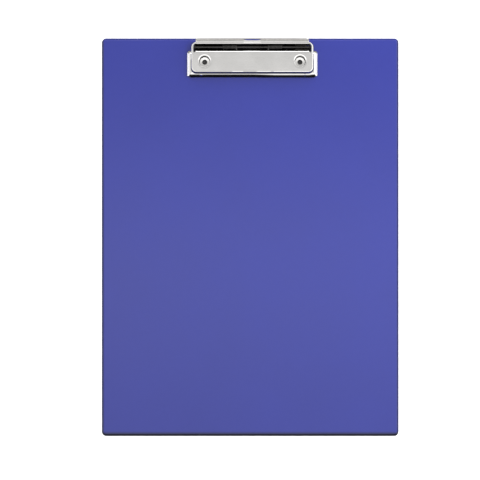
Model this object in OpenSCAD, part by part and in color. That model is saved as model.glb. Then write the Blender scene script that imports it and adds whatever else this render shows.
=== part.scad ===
// Clipboard with a spring-loaded board clip.
// The board lies flat with its writing face up, the clip is at the +Y end,
// and Z = 0 is the back face of the board.

/* [Board] */
// Width of the covered board
board_w = 235; // [225:1:245]
// Length of the covered board
board_l = 315; // [305:1:325]
// Thickness of the finished board
board_t = 3; // [2.8:0.1:3.4]
// Corner radius of the board in plan
board_r = 3.5; // [2.5:0.5:5]
// Thickness of the plastic film on each face
film_t = 0.3; // [0.2:0.05:0.4]
// Width of the welded film border round the stiff core
weld_w = 1.9; // [1.2:0.1:2.2]

/* [Clip position] */
// Sideways offset of the clip from the board's centre line
clip_x = 1.6; // [-5:0.1:5]
// Distance of the hinge axis from the board's top edge
hinge_back = 7.7; // [7.5:0.1:12]
// Height of the hinge axis above the board's face
hinge_h = 4.2; // [4.2:0.1:4.6]

/* [Clip sheet metal] */
// Sheet thickness of the clip's plate and jaw
sheet_t = 0.8; // [0.7:0.05:0.8]
// Half width of the fixed plate
plate_hw = 48; // [47.6:0.1:48.1]
// Front edge of the fixed plate, measured from the hinge axis
plate_front = 20.1; // [19.6:0.1:20.2]
// Rear edge of the fixed plate, measured from the hinge axis
plate_rear = 3.8; // [3.7:0.05:3.85]
// Corner radius of the fixed plate in plan
plate_r = 4; // [3:0.5:4]
// Height of the fixed plate's top above the hinge axis
plate_top = 3.2; // [3.2:0.1:3.6]
// Depth of the turned-down rim of the fixed plate
rim_d = 1.4; // [1.2:0.1:1.5]
// Half width of the jaw over its side flanges
jaw_hw = 51.45; // [51.2:0.05:52]
// Reach of the jaw's lip in front of the hinge axis
jaw_front = 23.45; // [23.2:0.05:24.2]
// Height of the lever's top edge above the hinge axis
lever_top = 8.8; // [7.5:0.1:8.8]
// Half width of the lever
lever_hw = 44.6; // [42:0.1:44.6]

/* [Fasteners and spring] */
// Half the distance between the two rivets
rivet_hs = 37.6; // [36:0.1:38]
// Distance of the rivets in front of the hinge axis
rivet_y = 11.5; // [11.2:0.1:11.8]
// Radius of the open tube through each rivet
rivet_bore_r = 1.75; // [1.5:0.05:1.8]
// Radius of the hinge pin
pin_r = 1; // [0.9:0.05:1]
// Radial running clearance of the jaw on the pin
pin_gap = 0.06; // [0.03:0.01:0.1]
// Wire diameter of the torsion springs
wire_d = 1; // [0.9:0.05:1]
// Number of turns in each torsion spring
turns = 11; // [8:1:12]

/* [Hidden] */
$fn = 64;
hinge_y = board_l / 2 - hinge_back;
hinge_z = board_t + hinge_h;
face_z = -hinge_h;                 // board face, seen from the hinge axis
shank_r = 2.4;                     // rivet shank
shank_hole_r = 2.5;                // holes that the shank passes through
washer_r = 4.5;
recess_r = 4.7;
recess_z = 0.85;                   // top of the pressed-in recess at the back
floor_t = 0.8;                     // boss floor
boss_top_r = 5.35;                 // mouth of the conical boss
boss_low_r = 3.55;                 // floor of the conical boss
win_front = 2.8;                   // rear window of the plate, front edge
win_rear = 2.2;                    // rear window of the plate, rear edge
win_hw = 46.5;
slot_in = 44.6;
slot_front = 4.6;
web_t = sheet_t;
web_z = -1;                        // middle of the jaw's flat sheet
bend_r = 2.6;                      // middle radius of the jaw's bends
lip_gap = 0.05;                    // lip above the board's face when closed
side_z = face_z + 0.6;             // lower edge of the side flanges
web_front = 6.5;                   // front edge of the jaw's rear web
ear_in = 45.0;
ear_out = 45.8;
under_r = 3.0;                     // middle radius of the sheet under the pin
slot_top = 7.5;                    // upper edge of the hanging slot
open_gap = 0.65;                   // gap between plate and jaw in front
side_gap = 0.5;                    // gap between plate and jaw at the sides
strip_rear = 2.5;                  // rear end of the jaw's side strips
coil_r = pin_r + 0.3 + wire_d / 2; // middle radius of the spring coils
coil_in = 12.5;                    // coil's end nearest the middle of the clip

// ---- helpers ---------------------------------------------------------------

module at_hinge() translate([clip_x, hinge_y, hinge_z]) children();
module at_rivet(s) translate([clip_x + s * rivet_hs, hinge_y - rivet_y, 0]) children();

// Rounded rectangle between two corners.
module rrect(x0, y0, x1, y1, r) {
    translate([x0 + r, y0]) square([x1 - x0 - 2 * r, y1 - y0]);
    translate([x0, y0 + r]) square([x1 - x0, y1 - y0 - 2 * r]);
    for (x = [x0 + r, x1 - r], y = [y0 + r, y1 - r]) translate([x, y]) circle(r);
}

// Stands a 2D drawing of (y, z) up and extrudes it along X between two places.
module along_x(x0, x1)
    translate([x0, 0, 0]) rotate([90, 0, 90]) linear_extrude(x1 - x0) children();

function arc_pts(c, r, a0, a1, n) =
    [for (i = [0:n]) let (a = a0 + (a1 - a0) * i / n) [c[0] + r * cos(a), c[1] + r * sin(a)]];

// Outline of a bent strip of thickness t whose middle line follows the points p.
function ribbon(p, t) =
    let (n = len(p),
         nr = [for (i = [0:n - 1])
                 let (d = p[min(i + 1, n - 1)] - p[max(i - 1, 0)]) [-d[1], d[0]] / norm(d)])
    concat([for (i = [0:n - 1]) p[i] + nr[i] * t / 2],
           [for (i = [n - 1:-1:0]) p[i] - nr[i] * t / 2]);

// ---- board -----------------------------------------------------------------

module board_outline(inset)
    rrect(-board_w / 2 + inset, -board_l / 2 + inset, board_w / 2 - inset,
          board_l / 2 - inset, max(board_r - inset, 0.8));

module rivet_holes(r, z0, z1)
    for (s = [-1, 1]) at_rivet(s) translate([0, 0, z0]) cylinder(r = r, h = z1 - z0);

// Stiff greyboard sheet, sealed inside the two films.
module board_core() color([0.55, 0.5, 0.44])
    difference() {
        translate([0, 0, film_t]) linear_extrude(board_t - 2 * film_t) board_outline(weld_w);
        rivet_holes(shank_hole_r, -1, board_t + 1);
        rivet_holes(recess_r, -1, recess_z);
    }

// Film on the writing face, turned down round the core to the weld line.
module front_cover() color([0.29, 0.31, 0.68])
    difference() {
        translate([0, 0, board_t / 2]) linear_extrude(board_t / 2) board_outline(0);
        translate([0, 0, film_t]) linear_extrude(board_t - 2 * film_t) board_outline(weld_w);
        rivet_holes(shank_hole_r, -1, board_t + 1);
    }

// Film on the back, turned up round the core to the weld line.
module back_cover() color([0.27, 0.29, 0.64])
    difference() {
        linear_extrude(board_t / 2) board_outline(0);
        translate([0, 0, film_t]) linear_extrude(board_t - 2 * film_t) board_outline(weld_w);
        rivet_holes(recess_r, -1, board_t + 1);
    }

// ---- fixed plate -----------------------------------------------------------

module plate_outline(inset)
    rrect(-plate_hw + inset, -plate_front + inset, plate_hw - inset, plate_rear - inset,
          plate_r - inset);

// Bridge plate: flat top, turned-down rim, window over the hinge, two ears that
// carry the pin, and two conical bosses that stand on the board.
module clip_plate() color([0.8, 0.8, 0.79])
    at_hinge() difference() {
        union() {
            // flat top with its window and the relief slots at the window's ends
            translate([0, 0, plate_top - sheet_t]) linear_extrude(sheet_t)
                difference() {
                    plate_outline(0);
                    translate([-win_hw, -win_front]) square([2 * win_hw, win_front + win_rear]);
                    for (s = [-1, 1])
                        translate([s * (win_hw + slot_in) / 2 - (win_hw - slot_in) / 2, -slot_front])
                            square([win_hw - slot_in, slot_front]);
                }
            // rim
            translate([0, 0, plate_top - rim_d]) linear_extrude(rim_d - sheet_t / 2)
                difference() { plate_outline(0); plate_outline(sheet_t); }
            // turned-down front edge of the window
            translate([-slot_in, -win_front - sheet_t, plate_top - rim_d])
                cube([2 * slot_in, sheet_t, rim_d - sheet_t / 2]);
            // ears
            intersection() {
                translate([0, 0, -4]) linear_extrude(4 + plate_top - sheet_t / 2)
                    difference() { plate_outline(0); plate_outline(sheet_t); }
                union() {
                    along_x(-60, 60) circle(2.2);
                    translate([-60, -2.2, 0]) cube([120, 4.4, plate_top]);
                }
            }
            // bosses
            for (s = [-1, 1]) translate([s * rivet_hs, -rivet_y, face_z])
                cylinder(r1 = boss_low_r + 0.75, r2 = boss_top_r + 0.65,
                         h = plate_top - sheet_t / 2 - face_z);
        }
        for (s = [-1, 1]) translate([s * rivet_hs, -rivet_y, face_z]) {
            translate([0, 0, floor_t])
                cylinder(r1 = boss_low_r, r2 = boss_top_r, h = plate_top - face_z - floor_t + 0.01);
            translate([0, 0, -1]) cylinder(r = shank_hole_r, h = 3);
        }
        along_x(-60, 60) circle(pin_r);
    }

// ---- jaw and lever ---------------------------------------------------------

// Middle line of the sheet: from the web down and round under the pin, back over
// a narrow shelf behind the fixed plate, and up to the steep lever.
p_arc0 = 220;
p_arc1 = 340;
shelf_z = 1.1;
lean = 1.0;
web_pts = concat([[-web_front, web_z]],
    arc_pts([-3.636, web_z - 1.2], 1.2, 90, 40, 5),
    arc_pts([0, 0], under_r, p_arc0, p_arc1, 16));
p_e0 = under_r * [cos(p_arc1), sin(p_arc1)];
rise = (shelf_z - 0.9 * (1 - cos(70)) - p_e0[1]) / sin(70);
p_r = p_e0 + rise * [cos(70), sin(70)];
shelf_pts = arc_pts([p_r[0] + 0.9 * sin(70), shelf_z - 0.9], 0.9, 160, 90, 6);
foot_pts = arc_pts([4.8, shelf_z + 0.9], 0.9, -90, -lean, 6);
p_e1 = foot_pts[len(foot_pts) - 1];
lever_len = (lever_top - p_e1[1]) / cos(lean);
p_top = p_e1 + lever_len * [sin(lean), cos(lean)];

rx = jaw_hw - web_t / 2 - bend_r;      // side bend's middle
ry = jaw_front - web_t / 2 - bend_r;   // lip bend's middle
rr = strip_rear + web_t / 2 + bend_r;  // rear rim's bend middle

// Solid under the jaw's outer skin (o = 0) or its inner skin (o = sheet
// thickness), down to z = -6: side bends, lip bend, rear bend, rounded plan.
module tray_solid(o) {
    rb = bend_r + web_t / 2 - o;
    zc = web_z - bend_r;
    intersection() {
        along_x(-60, 60) polygon(concat(
            [[-ry - rb, -6]], arc_pts([-ry, zc], rb, 180, 90, 6),
            arc_pts([-rr, zc], rb, 90, 0, 6), [[-rr + rb, -6]]));
        translate([0, 40, 0]) rotate([90, 0, 0]) linear_extrude(80) polygon(concat(
            [[-rx - rb, -6]], arc_pts([-rx, zc], rb, 180, 90, 6),
            arc_pts([rx, zc], rb, 90, 0, 6), [[rx + rb, -6]]));
        translate([0, 0, -7]) linear_extrude(8)
            rrect(-jaw_hw + o, -jaw_front + o, jaw_hw - o, -strip_rear - o, 2.4 - o);
    }
}

module jaw_lever() color([0.84, 0.84, 0.83])
    at_hinge() difference() {
        union() {
            // tray: flat sheet, side flanges, lip and short rear rim
            difference() {
                tray_solid(0);
                tray_solid(web_t);
                // side flanges end above the board, the lip reaches it
                translate([-60, -jaw_front + 1.1, -7]) cube([120, 40, 7 + side_z]);
                translate([-60, -jaw_front - 1, -7]) cube([120, 5, 7 + face_z + lip_gap]);
                // the rear rim stops at the web
                translate([-ear_out + 0.2, -web_front + 1.2, -7]) cube([2 * ear_out - 0.4, 6, 8]);
                // window round the fixed plate
                translate([0, 0, -4.2]) linear_extrude(6)
                    rrect(-plate_hw - side_gap, -plate_front - open_gap, plate_hw + side_gap,
                          -web_front, plate_r + 0.5);
            }
            // web and dip under the pin
            along_x(-ear_out, ear_out) polygon(ribbon(concat(web_pts, [p_r]), web_t));
            // shelf and lever
            along_x(-lever_hw, lever_hw)
                polygon(ribbon(concat([p_e0], shelf_pts, foot_pts, [p_top]), web_t));
            // ears on the pin
            for (s = [-1, 1]) along_x(s * (ear_in + ear_out) / 2 - 0.4, s * (ear_in + ear_out) / 2 + 0.4) {
                circle(2.4);
                intersection() { circle(under_r); translate([-4, -4]) square([8, 4]); }
            }
        }
        // clearance notches round the bosses
        for (s = [-1, 1]) translate([s * rivet_hs, -rivet_y, -3]) cylinder(r = 6.5, h = 5);
        // running bore for the pin
        along_x(-60, 60) circle(pin_r + pin_gap);
        // hanging slot, from the shelf's rear edge up into the lever
        translate([0, 4.9, slot_top]) rotate([-90, 0, 0]) linear_extrude(6)
            rrect(-6.75, 0, 6.75, slot_top + 2, 2.4);
        // rounded top corners of the lever
        for (s = [0, 1]) mirror([s, 0, 0]) translate([lever_hw - 2.5, 2, lever_top - 2.5])
            rotate([90, 0, 0]) translate([0, 0, -8]) linear_extrude(8)
                difference() { square(5); circle(2.5); }
    }

// ---- pin, springs, rivets --------------------------------------------------

// Hinge pin with a peened head outside each ear of the plate.
module hinge_pin() color([0.62, 0.62, 0.61])
    at_hinge() {
        along_x(-plate_hw - 0.3, plate_hw + 0.3) circle(pin_r);
        for (s = [-1, 1])
            along_x(s > 0 ? plate_hw : -plate_hw - 0.4, s > 0 ? plate_hw + 0.4 : -plate_hw)
                circle(pin_r + 0.4);
    }

// Tube along a list of points, with six sides.
module wire_tube(p, r) {
    n = len(p);
    tan = [for (i = [0:n - 1]) let (d = p[min(i + 1, n - 1)] - p[max(i - 1, 0)]) d / norm(d)];
    // one side direction is kept square to the wire and close to radial or to X
    ring = [for (i = [0:n - 1])
              let (u0 = [1, 0, 0] - tan[i] * tan[i][0], u = u0 / norm(u0), v = cross(tan[i], u))
              for (k = [0:5]) p[i] + r * (cos(60 * k) * u + sin(60 * k) * v)];
    side = [for (i = [0:n - 2], k = [0:5])
              let (a = i * 6 + k, b = i * 6 + (k + 1) % 6) each [[a, b, b + 6], [a, b + 6, a + 6]]];
    polyhedron(ring, concat(side, [[for (k = [5:-1:0]) k]], [[for (k = [0:5]) (n - 1) * 6 + k]]));
}

// Closely wound torsion spring. Its inner end bears under the plate's window
// flange and its outer end presses on the jaw's web.
pitch = wire_d * 1.04;
coil_a0 = 102;                                   // where the upper leg leaves
coil_a1 = 232;                                   // where the lower leg leaves
up_dir = [-cos(12), -sin(12)];
lo_start = coil_r * [cos(coil_a1), sin(coil_a1)];
seg = 14;
coil_sweep = 360 * turns + coil_a0 - coil_a1;
coil_len = pitch * coil_sweep / 360;
n_seg = turns * seg;
spring_pts = concat(
    [for (t = [4.6, 2.4, 0.8]) [coil_in, coil_r * cos(coil_a0) + t * up_dir[0],
                                coil_r * sin(coil_a0) + t * up_dir[1]]],
    [for (i = [0:n_seg]) let (a = coil_a0 - coil_sweep * i / n_seg)
        [coil_in + coil_len * i / n_seg, coil_r * cos(a), coil_r * sin(a)]],
    [[coil_in + coil_len, lo_start[0] - 0.63, lo_start[1] + 0.493],
     [coil_in + coil_len, -2.9, -0.02],
     [coil_in + coil_len, -3.5, 0.06],
     [coil_in + coil_len, -4.2, 0.0],
     [coil_in + coil_len, -6.0, -0.04]]);

module torsion_spring(s) at_hinge() mirror([s < 0 ? 1 : 0, 0, 0]) wire_tube(spring_pts, wire_d / 2);
module torsion_spring_left() color([0.35, 0.35, 0.36]) torsion_spring(-1);
module torsion_spring_right() color([0.35, 0.35, 0.36]) torsion_spring(1);

// Tubular rivet: domed head on the boss floor, shank through the board, and a
// rolled end on the washer at the back.
module rivet(s) at_rivet(s) rotate_extrude()
    polygon([[rivet_bore_r, 0.05], [3.2, 0.05], [3.3, 0.15], [3.3, 0.35], [shank_r, 0.35],
             [shank_r, board_t + floor_t], [3.35, board_t + floor_t],
             [3.35, board_t + floor_t + 0.25], [3.0, board_t + floor_t + 0.55],
             [rivet_bore_r + 0.3, board_t + floor_t + 0.6], [rivet_bore_r, board_t + floor_t + 0.45]]);
module rivet_left() color([0.78, 0.78, 0.77]) rivet(-1);
module rivet_right() color([0.78, 0.78, 0.77]) rivet(1);

module washer(s) at_rivet(s) translate([0, 0, 0.35]) difference() {
    cylinder(r = washer_r, h = recess_z - 0.35);
    translate([0, 0, -1]) cylinder(r = shank_hole_r, h = 3);
}
module washer_left() color([0.7, 0.7, 0.69]) washer(-1);
module washer_right() color([0.7, 0.7, 0.69]) washer(1);

board_core();
front_cover();
back_cover();
clip_plate();
jaw_lever();
hinge_pin();
torsion_spring_left();
torsion_spring_right();
rivet_left();
rivet_right();
washer_left();
washer_right();
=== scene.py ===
import bpy
import math
import numpy as np
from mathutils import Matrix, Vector
from mathutils.geometry import delaunay_2d_cdt


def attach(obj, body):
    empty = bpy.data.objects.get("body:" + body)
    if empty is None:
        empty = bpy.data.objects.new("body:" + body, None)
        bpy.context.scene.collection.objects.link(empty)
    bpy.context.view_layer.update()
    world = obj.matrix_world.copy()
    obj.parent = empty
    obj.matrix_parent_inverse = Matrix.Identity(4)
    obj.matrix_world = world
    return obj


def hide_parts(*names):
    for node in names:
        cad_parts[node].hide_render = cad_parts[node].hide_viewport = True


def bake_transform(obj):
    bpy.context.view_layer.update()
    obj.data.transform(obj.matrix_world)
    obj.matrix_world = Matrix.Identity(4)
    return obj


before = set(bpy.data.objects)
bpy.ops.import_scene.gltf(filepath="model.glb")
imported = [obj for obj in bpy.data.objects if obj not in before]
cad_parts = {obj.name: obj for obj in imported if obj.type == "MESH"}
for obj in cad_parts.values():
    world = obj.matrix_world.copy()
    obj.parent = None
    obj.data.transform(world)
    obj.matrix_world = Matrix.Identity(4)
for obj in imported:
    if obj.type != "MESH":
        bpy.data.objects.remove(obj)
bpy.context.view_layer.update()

scene = bpy.context.scene
ROOT, JAW = "clipboard", "jaw"
HX, HY, HZ = 1.6, 149.8, 7.2          # hinge axis in the row frame, mm
RX, RY = 37.6, -11.5                  # rivets, seen from the hinge
BW, BL, BT, BR = 235.0, 315.0, 3.0, 3.5


# ---------------------------------------------------------------- geometry --
def unit(v):
    return v / np.maximum(np.linalg.norm(v, axis=-1, keepdims=True), 1e-12)


def arc(cx, cy, r, a0, a1, n):
    a = np.radians(np.linspace(a0, a1, n + 1))
    return np.stack([cx + r * np.cos(a), cy + r * np.sin(a)], 1)


def join(*parts):
    """One open run of points out of several, with doubled points left out."""
    p = np.concatenate([np.asarray(q, float).reshape(-1, 2) for q in parts])
    keep = np.ones(len(p), bool)
    keep[1:] = np.linalg.norm(np.diff(p, axis=0), axis=1) > 1e-4
    return p[keep]


def closed(*parts):
    p = join(*parts)
    return p[:-1] if np.linalg.norm(p[0] - p[-1]) < 1e-4 else p


def resample(loop, h):
    out = []
    for a, b in zip(loop, np.roll(loop, -1, 0)):
        n = max(1, int(math.ceil(np.linalg.norm(b - a) / h)))
        out += [a + (b - a) * k / n for k in range(n)]
    return np.array(out)


def offset_loop(p, d):
    """Moves a closed loop by d towards its left side, which is the material's side."""
    t1, t2 = unit(p - np.roll(p, 1, 0)), unit(np.roll(p, -1, 0) - p)
    n1 = np.stack([-t1[:, 1], t1[:, 0]], 1)
    n2 = np.stack([-t2[:, 1], t2[:, 0]], 1)
    m = unit(n1 + n2)
    c = np.maximum((m * n1).sum(1, keepdims=True), 0.5)
    return p + m * d / c


def inside(pts, loops):
    """Even-odd test of many points against closed loops."""
    res = np.zeros(len(pts), bool)
    for L in loops:
        a, b = L, np.roll(L, -1, 0)
        for s in range(0, len(pts), 4000):
            q = pts[s:s + 4000]
            y = q[:, 1][:, None]
            cond = (a[None, :, 1] > y) != (b[None, :, 1] > y)
            dy = b[:, 1] - a[:, 1]
            dy = np.where(np.abs(dy) < 1e-12, 1e-12, dy)
            xi = a[None, :, 0] + (y - a[None, :, 1]) * ((b - a)[:, 0] / dy)[None, :]
            res[s:s + 4000] ^= (np.sum(cond & (q[:, 0][:, None] < xi), 1) % 2).astype(bool)
    return res


def near_loops(pts, loops, dist):
    """True where a point lies within dist of a loop's edges."""
    hit = np.zeros(len(pts), bool)
    for L in loops:
        a, b = L, np.roll(L, -1, 0)
        ab = b - a
        l2 = np.maximum((ab ** 2).sum(1), 1e-12)
        for s in range(0, len(pts), 3000):
            q = pts[s:s + 3000]
            t = np.clip(((q[:, None, :] - a[None]) * ab[None]).sum(2) / l2[None], 0, 1)
            d = np.linalg.norm(q[:, None, :] - (a[None] + t[..., None] * ab[None]), axis=2).min(1)
            hit[s:s + 3000] |= d < dist
    return hit


def make_object(name, verts, faces, normals=None, body=ROOT, mat=None, nodes=(),
                local=True):
    v = np.asarray(verts, float)
    if local:
        v = v + np.array([HX, HY, HZ])
    me = bpy.data.meshes.new(name)
    me.from_pydata((v / 1000.0).tolist(), [], [list(map(int, f)) for f in faces])
    me.validate()
    me.update()
    me.polygons.foreach_set("use_smooth", [True] * len(me.polygons))
    if normals is not None:
        me.normals_split_custom_set_from_vertices(unit(np.asarray(normals, float)).tolist())
    ob = bpy.data.objects.new(name, me)
    scene.collection.objects.link(ob)
    if mat is not None:
        me.materials.append(mat)
    if body:
        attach(ob, body)
    if nodes:
        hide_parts(*nodes)
    return ob


def grid_points(xs, ys):
    gx, gy = np.meshgrid(xs, ys, indexing="ij")
    return np.stack([gx.ravel(), gy.ravel()], 1)


def surface_normals(M, p, eps=0.004):
    dx = M(p + [eps, 0]) - M(p - [eps, 0])
    dy = M(p + [0, eps]) - M(p - [0, eps])
    return unit(np.cross(dx, dy))


def sheet(loops, M, t, pts, re=0.12, n_edge=3, clear=0.14):
    """A closed sheet of thickness t with rounded cut edges. loops are its outline (first, counter
    clockwise) and holes (clockwise) in the flat pattern, M folds the pattern into shape and gives the
    outer skin, pts are the points inside. Returns vertices, faces and exact normals."""
    inset = [offset_loop(L, re) for L in loops]
    ok = inside(pts, inset) & ~near_loops(pts, inset, clear)
    pts = pts[ok]
    base = np.concatenate(inset + [pts])
    edges, starts, k = [], [], 0
    for L in inset:
        n = len(L)
        starts.append(k)
        edges += [(k + i, k + (i + 1) % n) for i in range(n)]
        k += n
    got = delaunay_2d_cdt([Vector(p) for p in base], edges, [], 0, 1e-7, True)
    first = [o[0] if len(o) else -1 for o in got[3]]
    if -1 in first:
        raise RuntimeError("outline edges of a sheet cross each other")
    first = np.array(first)
    tri = first[np.array([f for f in got[2] if len(f) == 3])]
    c = base[tri].mean(1)
    tri = tri[inside(c, inset)]
    a, b, d = base[tri[:, 0]], base[tri[:, 1]], base[tri[:, 2]]
    area = (b - a)[:, 0] * (d - a)[:, 1] - (b - a)[:, 1] * (d - a)[:, 0]
    tri = np.where((area > 0)[:, None], tri, tri[:, ::-1])
    tri = tri[np.abs(area) > 1e-9]
    top, nrm = M(base), surface_normals(M, base)
    n0 = len(base)
    V, N = [top, top - nrm * t], [nrm, -nrm]
    F = [tri, tri[:, ::-1] + n0]
    nxt = 2 * n0
    for L, s in zip(loops, starts):
        n = len(L)
        i0 = np.arange(n)
        i1 = (i0 + 1) % n
        pin, pout = offset_loop(L, re), L
        e3 = unit(M(pout) - M(pin))
        rings = [s + i0]
        phis = [math.pi / 2 * (j + 1) / n_edge for j in range(n_edge)]
        for f, low in [(f, False) for f in phis] + [(f, True) for f in reversed(phis)]:
            q = offset_loop(L, re * (1 - math.sin(f)))
            nn = surface_normals(M, q)
            w = re * (1 - math.cos(f))
            w = t - w if low else w
            V.append(M(q) - nn * w)
            N.append((-nn if low else nn) * math.cos(f) + e3 * math.sin(f))
            rings.append(nxt + i0)
            nxt += n
        rings.append(s + n0 + i0)
        for r0, r1 in zip(rings[:-1], rings[1:]):
            F.append(np.stack([r0[i0], r1[i0], r1[i1], r0[i1]], 1))
    V, N = np.concatenate(V), np.concatenate(N)
    faces = [f for g in F for f in g.tolist()]
    return V, faces, N


def fillet(pts, radii, n=5):
    """A closed section with rounded corners, as points and outward normals (clockwise or not)."""
    P, Nn = [], []
    m = len(pts)
    pts = np.asarray(pts, float)
    x, y = pts[:, 0], pts[:, 1]
    ccw = (x * np.roll(y, -1) - np.roll(x, -1) * y).sum() > 0
    sgn = 1.0 if ccw else -1.0
    for i in range(m):
        p, a, b = pts[i], pts[i - 1], pts[(i + 1) % m]
        d1, d2 = unit(p - a), unit(b - p)
        n1 = sgn * np.array([d1[1], -d1[0]])
        n2 = sgn * np.array([d2[1], -d2[0]])
        cosang = float(np.clip(np.dot(d1, d2), -1, 1))
        ang = math.acos(cosang)
        r = radii[i] if hasattr(radii, "__len__") else radii
        cut = min(r * math.tan(ang / 2), 0.49 * np.linalg.norm(p - a), 0.49 * np.linalg.norm(b - p))
        if ang < 1e-3 or cut < 1e-5:
            P += [p]; Nn += [unit(n1 + n2)]
            continue
        r = cut / math.tan(ang / 2)
        s, e = p - d1 * cut, p + d2 * cut
        turn = d1[0] * d2[1] - d1[1] * d2[0]
        side = np.array([-d1[1], d1[0]]) * (1 if turn > 0 else -1)
        c = s + side * r
        a0 = math.atan2(*(s - c)[::-1])
        k = max(2, int(round(n * ang / (math.pi / 2))))
        for j in range(k + 1):
            th = a0 + (1 if turn > 0 else -1) * ang * j / k
            P.append(c + r * np.array([math.cos(th), math.sin(th)]))
            f = j / k
            nn = unit(n1 * math.sin((1 - f) * ang) + n2 * math.sin(f * ang)) if ang > 1e-3 else n1
            Nn.append(nn)
    return np.array(P), np.array(Nn)


def lathe(section, normals, steps=72, axis="z"):
    """Turns a closed section of (radius, height) round an axis. Returns vertices, faces, normals."""
    a = np.linspace(0, 2 * math.pi, steps, endpoint=False)
    m = len(section)
    V = np.zeros((steps, m, 3)); N = np.zeros((steps, m, 3))
    V[..., 0] = section[None, :, 0] * np.cos(a)[:, None]
    V[..., 1] = section[None, :, 0] * np.sin(a)[:, None]
    V[..., 2] = section[None, :, 1]
    N[..., 0] = normals[None, :, 0] * np.cos(a)[:, None]
    N[..., 1] = normals[None, :, 0] * np.sin(a)[:, None]
    N[..., 2] = normals[None, :, 1]
    x, y = section[:, 0], section[:, 1]
    ccw = (x * np.roll(y, -1) - np.roll(x, -1) * y).sum() > 0
    F = []
    for i in range(steps):
        for j in range(m):
            q = [i * m + j, ((i + 1) % steps) * m + j, ((i + 1) % steps) * m + (j + 1) % m,
                 i * m + (j + 1) % m]
            F.append(q if ccw else q[::-1])
    V, N = V.reshape(-1, 3), N.reshape(-1, 3)
    if axis == "x":
        V = V[:, [2, 0, 1]]; N = N[:, [2, 0, 1]]
    return V, F, N


def merge(*bits):
    V, F, N, k = [], [], [], 0
    for v, f, n in bits:
        V.append(v); N.append(n)
        F += [[i + k for i in g] for g in f]
        k += len(v)
    return np.concatenate(V), F, np.concatenate(N)


def mirrored(bit):
    v, f, n = bit
    s = np.array([-1.0, 1, 1])
    return v * s, [g[::-1] for g in f], n * s


def bend_out(u, r):
    """Distance out and down after bending over an edge of outer radius r, u along the skin."""
    a = np.clip(u / r, 0, math.pi / 2)
    over = np.maximum(u - r * math.pi / 2, 0)
    h = np.where(u < 0, u, r * np.sin(a))
    return h, np.where(u < 0, 0, r * (1 - np.cos(a)) + over)


def lines(*spans):
    """Sorted grid lines: each span is (start, end, step)."""
    out = []
    for a, b, h in spans:
        n = max(1, int(math.ceil(abs(b - a) / h)))
        out += list(np.linspace(a, b, n + 1))
    out = np.array(sorted(out))
    keep = np.ones(len(out), bool)
    keep[1:] = np.diff(out) > 0.02
    return out[keep]


# --------------------------------------------------------------- materials --
class Graph:
    """Short calls for building a node tree."""

    def __init__(self, tree):
        self.t = tree
        self.n = tree.nodes
        self.n.clear()

    def add(self, kind, _ins=(), **props):
        nd = self.n.new(kind)
        for k, v in props.items():
            setattr(nd, k, v)
        for key, val in (_ins.items() if hasattr(_ins, "items") else enumerate(_ins)):
            if val is not None:
                self.set(nd, key, val)
        return nd

    def set(self, nd, key, val):
        if isinstance(val, bpy.types.NodeSocket):
            self.t.links.new(val, nd.inputs[key])
        else:
            nd.inputs[key].default_value = val

    def math(self, op, a, b=None, c=None, clamp=False):
        nd = self.add("ShaderNodeMath", [a, b, c][:3 if c is not None else 2], operation=op)
        nd.use_clamp = clamp
        return nd.outputs[0]

    def ramp(self, fac, stops, mode="LINEAR"):
        nd = self.add("ShaderNodeValToRGB", [fac])
        cr = nd.color_ramp
        cr.interpolation = mode
        while len(cr.elements) > 2:
            cr.elements.remove(cr.elements[0])
        for i, (pos, col) in enumerate(stops):
            col = (col, col, col) if not hasattr(col, "__len__") else col
            el = cr.elements[i] if i < 2 else cr.elements.new(pos)
            el.position = pos
            el.color = (*col[:3], 1.0)
        return nd.outputs[0]

    def noise(self, vec, scale, detail=2.0, rough=0.5, dist=0.0):
        nd = self.add("ShaderNodeTexNoise", {"Vector": vec, "Scale": scale, "Detail": detail,
                                             "Roughness": rough, "Distortion": dist})
        return nd.outputs[0]

    def span(self, v, a0, a1, b0, b1):
        nd = self.add("ShaderNodeMapRange", [v, a0, a1, b0, b1])
        nd.clamp = True
        return nd.outputs[0]

    def stretch(self, vec, sx, sy, sz):
        nd = self.add("ShaderNodeMapping", {"Vector": vec, "Scale": (sx, sy, sz)})
        return nd.outputs[0]

    def mixcol(self, fac, a, b):
        nd = self.add("ShaderNodeMix", data_type="RGBA")
        nd.inputs[0].default_value = 0.5
        if isinstance(fac, bpy.types.NodeSocket):
            self.t.links.new(fac, nd.inputs[0])
        else:
            nd.inputs[0].default_value = fac
        for i, v in ((6, a), (7, b)):
            if isinstance(v, bpy.types.NodeSocket):
                self.t.links.new(v, nd.inputs[i])
            else:
                nd.inputs[i].default_value = (*v[:3], 1.0)
        return nd.outputs[2]


def new_material(name):
    m = bpy.data.materials.new(name)
    m.use_nodes = True
    g = Graph(m.node_tree)
    out = g.add("ShaderNodeOutputMaterial")
    b = g.add("ShaderNodeBsdfPrincipled")
    g.t.links.new(b.outputs[0], out.inputs[0])
    co = g.add("ShaderNodeTexCoord").outputs["Object"]
    return m, g, b, co


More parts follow.
